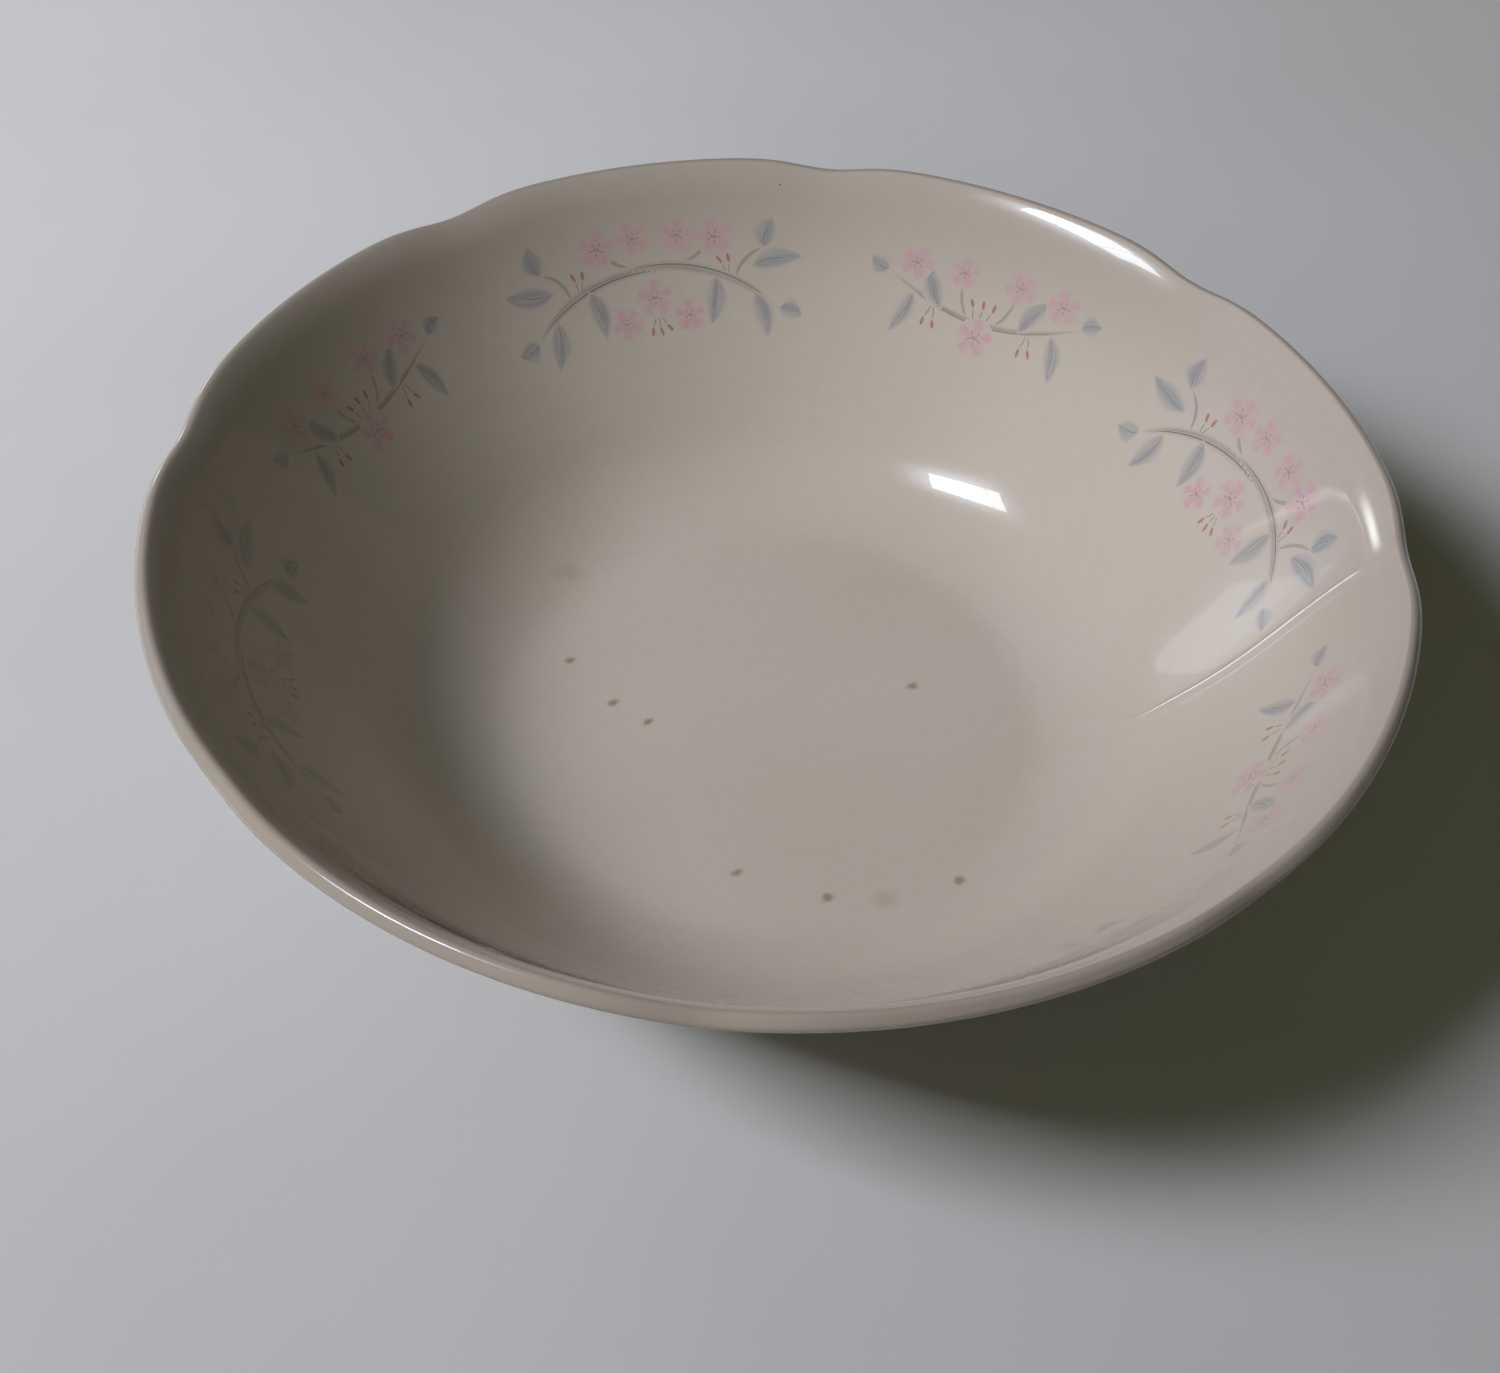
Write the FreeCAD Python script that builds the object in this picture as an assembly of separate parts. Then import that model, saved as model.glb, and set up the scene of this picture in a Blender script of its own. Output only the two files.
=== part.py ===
"""Round serving bowl with eight shallow lobes, a thin squared lip and a foot ring.

Millimetres, +Z up. The origin is the centre of the plane that the foot stands on.
One crease between two lobes lies on the +X axis, and the others follow every 45 degrees.

The wall is one profile of tangent arcs (bend, wall, flare, lip), lofted round one lobe at a time.
The profile's upper end moves in and down at each crease, and its lower end stays on the floor's circle,
so a crease fades out on its way down the wall.
"""
import FreeCAD
import Part
import math
import os

# --- driving dimensions -------------------------------------------------------------------------
RIM_DIAMETER = 240.0       # over the glazed lip, in the middle of a lobe
OVERALL_HEIGHT = 75.0      # foot plane to the top of the glazed lip
WALL = 2.6                 # clay thickness of the wall and the lip
GLAZE = 0.3                # fired glaze thickness

LOBES = 8
CREASE_INSET = 0.8         # how far the lip comes in at a crease
CREASE_DROP = 1.6          # how far the lip dips at a crease
CREASE_HALF_WIDTH = 11.0   # along the lip, from a crease to where its dip has faded to a third

LIP_SLOPE = 46.0           # degrees from horizontal, where the flared wall meets the lip
LIP_ROUND = 0.8            # both corners of the lip's flat end, which is square to the wall
FLARE_RADIUS = 28.0        # outward curl below the lip, at mid wall
WALL_RADIUS = 300.0        # long bulge of the wall, at mid wall
BEND_RADIUS = 42.0         # bend between wall and floor, at mid wall

FLOOR_RADIUS = 57.0        # where the bend meets the flat floor, inside
FLOOR_SLOPE = 8.0          # degrees, slope of the bend where it meets the floor
FLOOR_THICKNESS = 4.6      # clay
FLOOR_HEIGHT = 9.2         # foot plane to the top of the clay floor

FOOT_DIAMETER = 124.0      # outside of the foot ring, at the table
FOOT_WIDTH = 5.0           # bare clay that stands on the table
FOOT_DRAFT = 15.0          # degrees from vertical, both sides of the foot ring
FOOT_ROUND = 1.2           # rounded edges of the foot
BARE_HEIGHT = 1.6          # the foot is wiped free of glaze up to this height

FILM = 0.15                # thickness of a printed transfer
FILM_SEAT = 0.1            # a transfer's back stands this far off the curved glaze
SPRAY_LENGTH = 78.0        # large transfers, along the wall
SPRAY_BREADTH = 31.0       # and up the wall
SPRIG_LENGTH = 60.0        # small transfers
SPRIG_BREADTH = 26.0
PRINT_DROP = 23.0          # from the top of the lip down to the middle of every transfer

# --- worked out from them -----------------------------------------------------------------------
HALF_WALL = WALL / 2
LIP_FLAT = WALL - 2 * LIP_ROUND                        # straight part of the lip's end
LIP_TURN = math.radians(LIP_SLOPE)
LIP_RADIUS = RIM_DIAMETER / 2 - LIP_ROUND - GLAZE - LIP_FLAT / 2 * math.sin(LIP_TURN)   # mid wall, mid lobe
LIP_HEIGHT = OVERALL_HEIGHT - LIP_ROUND - GLAZE - LIP_FLAT / 2 * math.cos(LIP_TURN)
LOBE_ANGLE = 360.0 / LOBES
STATIONS = (0.0, 0.15, 0.3, 0.5, 0.75, 1.0)            # shares of half a lobe, from its crease
CENTRE = FreeCAD.Vector(0, 0, 0)
UP = FreeCAD.Vector(0, 0, 1)


# --- drawing in the XZ plane --------------------------------------------------------------------
def point(radius, height):
    return FreeCAD.Vector(radius, 0, height)


def from_point(start, length, degrees):
    """The point at this length from start, on this heading."""
    angle = math.radians(degrees)
    return start + FreeCAD.Vector(length * math.cos(angle), 0, length * math.sin(angle))


def heading(start, end):
    return math.degrees(math.atan2(end.z - start.z, end.x - start.x))


def arc(centre, radius, start, end):
    """An arc from one heading to another, as seen from its centre."""
    middle = (start + end) / 2
    ends = [from_point(centre, radius, degrees) for degrees in (start, middle, end)]
    return Part.Arc(*ends).toShape()


def line(start, end):
    return Part.LineSegment(start, end).toShape()


def revolved(points):
    return Part.Face(Part.makePolygon(points + points[:1])).revolve(CENTRE, UP, 360)


# --- the wall -----------------------------------------------------------------------------------
def crease_depth(degrees_off):
    """1 on a crease, fading to 0 towards the middle of a lobe."""
    along_lip = math.radians(degrees_off) * LIP_RADIUS
    return math.exp(-(along_lip / CREASE_HALF_WIDTH) ** 2)


def arc_centres(depth):
    """Middle of the lip, and centres of the flare, wall and bend arcs, where the crease has this depth."""
    lip = point(LIP_RADIUS - CREASE_INSET * depth, LIP_HEIGHT - CREASE_DROP * depth)
    flare = from_point(lip, FLARE_RADIUS, LIP_SLOPE - 90)
    bend = from_point(point(FLOOR_RADIUS, FLOOR_HEIGHT), BEND_RADIUS - HALF_WALL, 90 + FLOOR_SLOPE)
    # the wall arc encloses the bend arc and passes the flare arc on its far side
    to_bend = WALL_RADIUS - BEND_RADIUS
    to_flare = WALL_RADIUS + FLARE_RADIUS
    between = flare - bend
    along = (between.Length ** 2 + to_bend ** 2 - to_flare ** 2) / (2 * between.Length)
    across = math.sqrt(to_bend ** 2 - along ** 2)
    ahead = FreeCAD.Vector(between).normalize()
    aside = FreeCAD.Vector(-ahead.z, 0, ahead.x)
    wall = bend + ahead * along + aside * across
    return lip, flare, wall, bend


def wall_profile(depth, grow):
    """Closed section of wall and lip, from inside the floor's clay, grown all round by grow."""
    lip, flare, wall, bend = arc_centres(depth)
    half = HALF_WALL + grow
    low = -90
    wall_low = heading(wall, bend)
    wall_high = heading(wall, flare)
    flare_low = wall_high + 180
    flare_high = 90 + LIP_SLOPE
    end_face = LIP_SLOPE
    inside = [arc(bend, BEND_RADIUS - half, low, wall_low),
              arc(wall, WALL_RADIUS - half, wall_low, wall_high),
              arc(flare, FLARE_RADIUS + half, flare_low, flare_high)]
    corner = LIP_ROUND + grow
    inner = from_point(lip, LIP_FLAT / 2, flare_high)
    outer = from_point(lip, LIP_FLAT / 2, flare_high - 180)
    lip_end = [arc(inner, corner, flare_high, end_face),
               line(from_point(inner, corner, end_face), from_point(outer, corner, end_face)),
               arc(outer, corner, end_face, flare_high - 180)]
    outside = [arc(flare, FLARE_RADIUS - half, flare_high, flare_low),
               arc(wall, WALL_RADIUS + half, wall_high, wall_low),
               arc(bend, BEND_RADIUS + half, wall_low, low)]
    end = line(from_point(bend, BEND_RADIUS + half, low), from_point(bend, BEND_RADIUS - half, low))
    return Part.Wire(inside + lip_end + outside + [end])


def print_profile(depth):
    """Closed section of a transfer's film, over the whole height of the wall arc."""
    _, flare, wall, bend = arc_centres(depth)
    low = heading(wall, bend)
    high = heading(wall, flare)
    back = WALL_RADIUS - HALF_WALL - GLAZE - FILM_SEAT
    front = back - FILM
    return Part.Wire([arc(wall, back, low, high),
                      line(from_point(wall, back, high), from_point(wall, front, high)),
                      arc(wall, front, high, low),
                      line(from_point(wall, front, low), from_point(wall, back, low))])


def lofted_lobe(profile):
    """A solid from crease to crease, the first crease on the X axis; profile takes a crease depth."""
    first_half = [share * LOBE_ANGLE / 2 for share in STATIONS]
    angles = first_half + [LOBE_ANGLE - angle for angle in reversed(first_half[:-1])]
    wires = []
    for angle in angles:
        wire = profile(crease_depth(min(angle, LOBE_ANGLE - angle)))
        wire.rotate(CENTRE, UP, angle)
        wires.append(wire)
    return Part.makeLoft(wires, True, False)


def turned(shape, lobes):
    """A copy of the shape, turned round the bowl by this many lobes."""
    copy = shape.copy()
    copy.rotate(CENTRE, UP, lobes * LOBE_ANGLE)
    return copy


# --- floor and foot -----------------------------------------------------------------------------
def floor_and_foot(grow):
    """Floor disc and foot ring; the disc's edge ends inside the clay of the wall's bend."""
    top = FLOOR_HEIGHT + grow
    underside = FLOOR_HEIGHT - FLOOR_THICKNESS - grow
    lean = math.tan(math.radians(FOOT_DRAFT))
    side_grow = grow / math.cos(math.radians(FOOT_DRAFT))
    outer = FOOT_DIAMETER / 2 + side_grow
    inner = FOOT_DIAMETER / 2 - FOOT_WIDTH - side_grow
    section = [point(0, top), point(outer + lean * top, top), point(outer, 0), point(inner, 0),
               point(inner - lean * underside, underside), point(0, underside)]
    solid = revolved(section)
    edges = [edge for edge in solid.Edges if edge.BoundBox.ZMax < 0.001 and edge.Closed]
    return solid.makeFillet(FOOT_ROUND, edges)


def whole_bowl(grow):
    lobe = lofted_lobe(lambda depth: wall_profile(depth, grow))
    lobes = [turned(lobe, number) for number in range(LOBES)]
    return floor_and_foot(grow).multiFuse(lobes).removeSplitter()


# --- pieces -------------------------------------------------------------------------------------
def glaze_pieces(body):
    """The glaze around the outside, lip and inside, and the glaze within the foot ring."""
    half_space = Part.makeCylinder(RIM_DIAMETER, BARE_HEIGHT + RIM_DIAMETER, point(0, -RIM_DIAMETER))
    skins = whole_bowl(GLAZE).cut(body).cut(half_space).Solids
    underside, coat = sorted(skins, key=lambda skin: skin.BoundBox.DiagonalLength)
    return coat, underside


def print_outline(length, breadth):
    """A round-ended bar through the wall, square to it in the middle of the first lobe."""
    straight = (length - breadth) / 2
    round_end = breadth / 2
    corners = [FreeCAD.Vector(up, along, 0) for up, along in
               ((-round_end, -straight), (-round_end, straight), (round_end, straight), (round_end, -straight))]
    right = Part.Arc(corners[1], FreeCAD.Vector(0, straight + round_end, 0), corners[2]).toShape()
    left = Part.Arc(corners[3], FreeCAD.Vector(0, -straight - round_end, 0), corners[0]).toShape()
    wire = Part.Wire([line(corners[0], corners[1]), right, line(corners[2], corners[3]), left])
    bar = Part.Face(wire).extrude(UP * length)
    bar.translate(UP * -length / 2)

    _, _, wall, _ = arc_centres(crease_depth(LOBE_ANGLE / 2))
    glazed = WALL_RADIUS - HALF_WALL - GLAZE
    below = math.degrees(math.asin((wall.z - OVERALL_HEIGHT + PRINT_DROP) / glazed))
    bar.rotate(CENTRE, FreeCAD.Vector(0, 1, 0), below - 90)
    bar.translate(from_point(wall, glazed, -below))
    bar.rotate(CENTRE, UP, LOBE_ANGLE / 2)
    return bar


def transfers(length, breadth, first_lobe):
    """Four equal transfers, one in every second lobe."""
    first = lofted_lobe(print_profile).common(print_outline(length, breadth)).Solids[0]
    return [turned(first, first_lobe + 2 * number) for number in range(LOBES // 2)]


def main():
    bowl_body = whole_bowl(0).Solids[0]
    glaze_coat, glaze_underside = glaze_pieces(bowl_body)
    pieces = {"bowl_body": bowl_body, "glaze_coat": glaze_coat, "glaze_underside": glaze_underside}
    for number, shape in enumerate(transfers(SPRAY_LENGTH, SPRAY_BREADTH, 0), start=1):
        pieces[f"spray_transfer_{number}"] = shape
    for number, shape in enumerate(transfers(SPRIG_LENGTH, SPRIG_BREADTH, 1), start=1):
        pieces[f"sprig_transfer_{number}"] = shape

    os.makedirs("parts", exist_ok=True)
    for name, shape in pieces.items():
        shape.exportStep(f"parts/{name}.step")
        print(name, shape.ShapeType, shape.isValid(), round(shape.Volume, 1))


main()
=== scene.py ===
# %% [markdown]
# # A lobed serving bowl
# The bowl is white ware: a clay body, a clear glossy glaze over nearly all of it, and printed flowers
# on the inside of the wall. The clay, the glaze and the prints are separate pieces, as they are in the
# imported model. Everything is in metres, with the foot on z = 0 and the axis of the bowl on z.

# %% Load the frame and keep its box
import math

import bmesh
import bpy
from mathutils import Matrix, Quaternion, Vector


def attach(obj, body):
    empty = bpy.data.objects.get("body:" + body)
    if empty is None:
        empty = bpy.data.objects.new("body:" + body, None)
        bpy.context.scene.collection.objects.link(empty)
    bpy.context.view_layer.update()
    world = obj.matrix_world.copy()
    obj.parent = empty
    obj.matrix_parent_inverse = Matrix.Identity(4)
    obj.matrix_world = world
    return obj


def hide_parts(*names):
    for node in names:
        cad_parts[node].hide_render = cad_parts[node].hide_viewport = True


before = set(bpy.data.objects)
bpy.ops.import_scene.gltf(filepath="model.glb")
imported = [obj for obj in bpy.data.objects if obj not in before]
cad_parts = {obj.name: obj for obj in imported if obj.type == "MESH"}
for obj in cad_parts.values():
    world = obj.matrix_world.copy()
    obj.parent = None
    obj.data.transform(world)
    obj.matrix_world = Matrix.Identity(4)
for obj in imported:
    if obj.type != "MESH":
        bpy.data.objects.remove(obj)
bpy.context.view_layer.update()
print("nodes", sorted(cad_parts))

# %% [markdown]
# ## The bowl's own sizes
# These are the driving sizes of the solid model. The wall is one chain of arcs that touch smoothly:
# a tight bend beside the floor, a long and nearly straight wall, and a flare that curls out to the lip,
# whose end is cut square and softened by the glaze. A potter's template has just such a line, so the
# same few numbers draw it here. The alternative, a measured outline of many points, would show its kinks.

# %% Sizes
MM = 0.001
RIM_RADIUS = 120 * MM
HEIGHT = 75 * MM
WALL = 2.6 * MM
GLAZE = 0.3 * MM
FLOOR_RADIUS = 57 * MM
FLOOR_HEIGHT = 9.2 * MM
FLOOR_THICKNESS = 4.6 * MM
FLARE_RADIUS = 28 * MM
WALL_RADIUS = 300 * MM
BEND_RADIUS = 42 * MM
LIP_SLOPE = math.radians(46)
LIP_ROUND = 0.8 * MM
FLOOR_SLOPE = math.radians(8)
FOOT_RADIUS = 62 * MM
FOOT_WIDTH = 5 * MM
FOOT_DRAFT = math.radians(15)
FOOT_ROUND = 1.2 * MM        # the edges that the foot stands on
CORNER_ROUND = 1.2 * MM      # where the foot meets the bowl, inside and outside
FLOOR_ROUND = 2.2 * MM       # where the floor meets the wall
BARE_HEIGHT = 1.6 * MM       # the glaze is wiped off below this

HALF_WALL = WALL / 2
LIP_FLAT = WALL - 2 * LIP_ROUND
QUARTER = math.pi / 2
FULL_TURN = 2 * math.pi


def ahead(start, length, heading):
    """The point at this length from start on this heading, in the plane of radius and height."""
    return start + length * Vector((math.cos(heading), math.sin(heading)))


def heading(start, end):
    return math.atan2(end.y - start.y, end.x - start.x)


lip = Vector((RIM_RADIUS - LIP_ROUND - GLAZE - LIP_FLAT / 2 * math.sin(LIP_SLOPE),
              HEIGHT - LIP_ROUND - GLAZE - LIP_FLAT / 2 * math.cos(LIP_SLOPE)))
lip_inner = ahead(lip, LIP_FLAT / 2, LIP_SLOPE + QUARTER)
lip_outer = ahead(lip, LIP_FLAT / 2, LIP_SLOPE - QUARTER)
flare = ahead(lip, FLARE_RADIUS, LIP_SLOPE - QUARTER)
bend = ahead(Vector((FLOOR_RADIUS, FLOOR_HEIGHT)), BEND_RADIUS - HALF_WALL, QUARTER + FLOOR_SLOPE)
to_bend = WALL_RADIUS - BEND_RADIUS
to_flare = WALL_RADIUS + FLARE_RADIUS
between = (flare - bend).length
along = (between ** 2 + to_bend ** 2 - to_flare ** 2) / (2 * between)
across = math.sqrt(to_bend ** 2 - along ** 2)
wall = ahead(ahead(bend, along, heading(bend, flare)), across, heading(bend, flare) + QUARTER)
WALL_LOW = heading(wall, bend)
WALL_HIGH = heading(wall, flare)
print("wall arc's centre in mm", [round(1000 * side, 1) for side in wall])

# %% [markdown]
# ## The eight folds
# Before firing, the soft wall was pressed in at eight places. Each fold lowers the lip a little and fades
# out on its way down. Along its middle runs a fine crest, which came out sharp on one fold and nearly
# vanished under the glaze on the others. One function that moves a point does all this for the clay, the
# glaze and the prints alike, so they stay on each other without any fitting.

# %% The fold
LOBES = 8
LOBE = FULL_TURN / LOBES
FOLD_INSET = 0.8 * MM        # the lip comes in by this much at a fold
FOLD_DROP = 1.6 * MM         # and dips by this much
FOLD_HALF_WIDTH = 11 * MM    # along the lip
CREST_FOOT = 14 * MM         # the crest comes up between these two heights
CREST_FULL = 27 * MM
CREST_LOW = 0.8 * MM         # its height there
CREST_HIGH = 0.25 * MM       # and at the lip
CREST_END = 64 * MM          # it dies out above this height
CREST_FADE = 5 * MM          # and is gone this much higher
CREST_HALF_WIDTH = 1.2 * MM
CREST_SWAY = 0.8 * MM        # it wanders to both sides by this much
CREST_WAVE = 46 * MM         # once in this height
FAINT_CREST = 0.05           # share of it on the seven other folds


def ramp(value, low, high):
    """0 at low, 1 at high, and smooth between them."""
    share = min(max((value - low) / (high - low), 0), 1)
    return share * share * (3 - 2 * share)


def crest_height(height, fold_number):
    share = min(max((height - CREST_FULL) / (HEIGHT - CREST_FULL), 0), 1)
    tall = CREST_LOW + (CREST_HIGH - CREST_LOW) * share
    tall *= ramp(height, CREST_FOOT, CREST_FULL) * (1 - ramp(height, CREST_END, CREST_END + CREST_FADE))
    return tall * (FAINT_CREST if fold_number else 1)


def crest_off(off, height):
    """How far to the side of the wandering crest this is."""
    return off - CREST_SWAY * math.sin(FULL_TURN * height / CREST_WAVE)


def folded(point):
    """Where a point of the plain round bowl goes when the folds are pressed in."""
    radius = math.hypot(point.x, point.y)
    if radius < FLOOR_RADIUS:
        return point
    turn = math.atan2(point.y, point.x)
    fold_number = round(turn / LOBE)
    off = (turn - LOBE * fold_number) * RIM_RADIUS
    rise = min(max((point.z - FLOOR_HEIGHT) / (lip.y - FLOOR_HEIGHT), 0), 1)
    fold = math.exp(-(off / FOLD_HALF_WIDTH) ** 2) * rise ** 3
    crest = math.exp(-(crest_off(off, point.z) / CREST_HALF_WIDTH) ** 2)
    inward = FOLD_INSET * fold + crest * crest_height(point.z, fold_number)
    shrunk = (radius - inward) / radius
    return Vector((point.x * shrunk, point.y * shrunk, point.z - FOLD_DROP * fold))


dip = Vector((RIM_RADIUS, 0, HEIGHT)) - folded(Vector((RIM_RADIUS, 0, HEIGHT)))
print("a fold moves the lip by", [round(1000 * side, 2) for side in dip], "mm")

# %% [markdown]
# ## Drawing a profile and turning it
# A single vertex is the pen. Spun about an arc's centre it leaves an arc of edges behind it, and spun by
# no angle but with a step it leaves a straight run. The finished line is then spun once round the axis.
# The rings are drawn in towards the folds, where the surface turns fastest.

# %% Pen and wheel
RINGS = 320                  # steps round the glaze; the clay under it needs half as many
DRAWN_IN = 0.7               # 0 spaces the rings evenly, 1 would bring them all to the folds
CREST_REACH = 4 * MM         # each side of the sharp crest, where the steps are made finer
CREST_STEP = 0.05 * MM       # an edge that spans more than this runs across the crest


def last_vertex(result):
    return [item for item in result["geom_last"] if isinstance(item, bmesh.types.BMVert)][0]


def draw_line(bm, pen, end, steps):
    start = Vector((pen.co.x, pen.co.z))
    stride = (end - start) / steps
    return last_vertex(bmesh.ops.spin(bm, geom=[pen], cent=pen.co, axis=(0, -1, 0), angle=0,
                                      dvec=(stride.x, 0, stride.y), steps=steps))


def draw_arc(bm, pen, centre, end_heading, steps):
    """Spins the pen about a centre until it stands on this heading from it, the shorter way round."""
    start = Vector((pen.co.x, pen.co.z))
    angle = end_heading - heading(centre, start)
    angle = (angle + math.pi) % FULL_TURN - math.pi
    return last_vertex(bmesh.ops.spin(bm, geom=[pen], cent=(centre.x, 0, centre.y), axis=(0, -1, 0),
                                      angle=angle, steps=steps))


def soften(bm, corner, size):
    """Rounds one corner of the line."""
    bmesh.ops.bevel(bm, geom=[corner], offset=size, offset_type="OFFSET", segments=4,
                    profile=0.5, affect="VERTICES", material=-1)


def turn_on_wheel(bm, rings):
    """Spins the line once round the axis, closes seam and poles, and presses in the folds."""
    bmesh.ops.spin(bm, geom=bm.verts[:] + bm.edges[:], cent=(0, 0, 0), axis=(0, 0, 1),
                   angle=FULL_TURN, steps=rings, use_merge=True)
    bmesh.ops.remove_doubles(bm, verts=bm.verts[:], dist=0.001 * MM)
    for vertex in bm.verts:
        turn = math.atan2(vertex.co.y, vertex.co.x)
        vertex.co.rotate(Quaternion((0, 0, 1), -DRAWN_IN * math.sin(LOBES * turn) / LOBES))
    refine_crest(bm)
    for vertex in bm.verts:
        vertex.co = folded(vertex.co)
    bmesh.ops.recalc_face_normals(bm, faces=bm.faces[:])


def refine_crest(bm):
    """Splits the steps round the bowl into thirds where the sharp crest will be."""
    def off(vertex):
        return math.atan2(vertex.co.y, vertex.co.x) * RIM_RADIUS if vertex.co.xy.length > MM else 0
    across = [edge for edge in bm.edges if max(abs(off(vertex)) for vertex in edge.verts) < CREST_REACH
              and abs(off(edge.verts[0]) - off(edge.verts[1])) > CREST_STEP
              and min(vertex.co.xy.length for vertex in edge.verts) > MM]
    bmesh.ops.subdivide_edges(bm, edges=across, cuts=2)


def finished(bm, name, material):
    """Makes an object of the bmesh, smooth, with its place in its mesh, riding on the bowl."""
    mesh = bpy.data.meshes.new(name)
    bm.to_mesh(mesh)
    bm.free()
    mesh.shade_smooth()
    mesh.materials.append(material)
    piece = bpy.data.objects.new(name, mesh)
    bpy.context.scene.collection.objects.link(piece)
    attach(piece, "root")
    mesh.calc_loop_triangles()
    print(name, len(mesh.loop_triangles), "triangles")
    return piece


# %% [markdown]
# ## The line of the bowl
# The line starts in the middle of the floor, climbs the inside, goes over the lip and comes down the
# outside to the foot. The glaze has the same line as the clay, only grown outwards by its thickness, so one
# pair of functions draws both.

# %% The line of the bowl
def draw_inside(bm, grow):
    """From the middle of the floor up to the lip; returns the pen and the corner at the floor's edge."""
    level = FLOOR_HEIGHT + grow
    start = bm.verts.new((0, 0, level))
    reach = math.sqrt((BEND_RADIUS - HALF_WALL - grow) ** 2 - (bend.y - level) ** 2)
    corner = draw_line(bm, start, Vector((bend.x + reach, level)), steps=8)
    pen = draw_arc(bm, corner, bend, WALL_LOW, steps=10)
    pen = draw_arc(bm, pen, wall, WALL_HIGH, steps=18)
    pen = draw_arc(bm, pen, flare, QUARTER + LIP_SLOPE, steps=8)
    return pen, corner


def draw_outside(bm, pen, grow):
    """Over the lip and down the outside to the foot; returns the pen where the foot begins."""
    pen = draw_arc(bm, pen, lip_inner, LIP_SLOPE, steps=5)
    pen = draw_line(bm, pen, ahead(lip_outer, LIP_ROUND + grow, LIP_SLOPE), steps=2)
    pen = draw_arc(bm, pen, lip_outer, LIP_SLOPE - QUARTER, steps=5)
    pen = draw_arc(bm, pen, flare, WALL_HIGH + math.pi, steps=6)
    pen = draw_arc(bm, pen, wall, WALL_LOW, steps=14)
    return draw_arc(bm, pen, bend, foot_meeting(grow), steps=9)


def foot_side(height, grow, side):
    """Radius of the foot's outer (side 1) or inner (side -1) flank at this height."""
    radius = FOOT_RADIUS if side > 0 else FOOT_RADIUS - FOOT_WIDTH
    return radius + side * (height * math.tan(FOOT_DRAFT) + grow / math.cos(FOOT_DRAFT))


def foot_meeting(grow):
    """The heading, from the bend's centre, at which the outside of the bend meets the foot's flank."""
    low, high = -QUARTER, WALL_LOW
    for _ in range(30):
        middle = (low + high) / 2
        point = ahead(bend, BEND_RADIUS + HALF_WALL + grow, middle)
        if point.x < foot_side(point.y, grow, 1):
            low = middle
        else:
            high = middle
    return high


# %% [markdown]
# ## Wiring finishes
# Every finish is a small tree of nodes. These helpers only save typing: a source may be a number, a
# colour or another node's output, and each helper gives back an output for the next one to use.

# %% Helpers for nodes
def from_srgb(red, green, blue):
    """A colour as it is written on screen, 0 to 255, as the linear colour that a shader takes."""
    def linear(level):
        level /= 255
        return level / 12.92 if level <= 0.04045 else ((level + 0.055) / 1.055) ** 2.4
    return (linear(red), linear(green), linear(blue), 1)


def feed(tree, socket, source):
    if isinstance(source, bpy.types.NodeSocket):
        tree.links.new(source, socket)
    else:
        socket.default_value = source


def maths(tree, operation, first, second=0.0):
    node = tree.nodes.new("ShaderNodeMath")
    node.operation = operation
    feed(tree, node.inputs[0], first)
    feed(tree, node.inputs[1], second)
    return node.outputs[0]


def plus(tree, first, second):
    return maths(tree, "ADD", first, second)


def minus(tree, first, second):
    return maths(tree, "SUBTRACT", first, second)


def times(tree, first, second):
    return maths(tree, "MULTIPLY", first, second)


def ease(tree, value, low, high):
    """0 where the value is at low, 1 where it is at high, and smooth between them."""
    node = tree.nodes.new("ShaderNodeMapRange")
    node.interpolation_type = "SMOOTHSTEP"
    feed(tree, node.inputs["Value"], value)
    feed(tree, node.inputs["From Min"], low)
    feed(tree, node.inputs["From Max"], high)
    return node.outputs["Result"]


def blend(tree, share, first, second):
    """The first colour where the share is 0, and the second where it is 1."""
    node = tree.nodes.new("ShaderNodeMix")
    node.data_type = "RGBA"
    feed(tree, node.inputs[0], share)
    feed(tree, node.inputs[6], first)
    feed(tree, node.inputs[7], second)
    return node.outputs[2]


def tint(tree, first, second):
    """The first colour multiplied by the second."""
    result = blend(tree, 1.0, first, second)
    result.node.blend_type = "MULTIPLY"
    return result


def noise(tree, place, scale, detail):
    node = tree.nodes.new("ShaderNodeTexNoise")
    feed(tree, node.inputs["Vector"], place)
    node.inputs["Scale"].default_value = scale
    node.inputs["Detail"].default_value = detail
    return node.outputs[0]


def place_on_object(tree):
    return tree.nodes.new("ShaderNodeTexCoord").outputs["Object"]


def new_group(name, given, results):
    """An empty group with named sockets; returns it with its input and output nodes."""
    group = bpy.data.node_groups.new(name, "ShaderNodeTree")
    for label, kind, value in given:
        socket = group.interface.new_socket(label, in_out="INPUT", socket_type=kind)
        socket.default_value = value
    for label, kind in results:
        group.interface.new_socket(label, in_out="OUTPUT", socket_type=kind)
    return group, group.nodes.new("NodeGroupInput").outputs, group.nodes.new("NodeGroupOutput").inputs


def use_group(tree, group, **values):
    node = tree.nodes.new("ShaderNodeGroup")
    node.node_tree = group
    for label, value in values.items():
        feed(tree, node.inputs[label], value)
    return node.outputs


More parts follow.
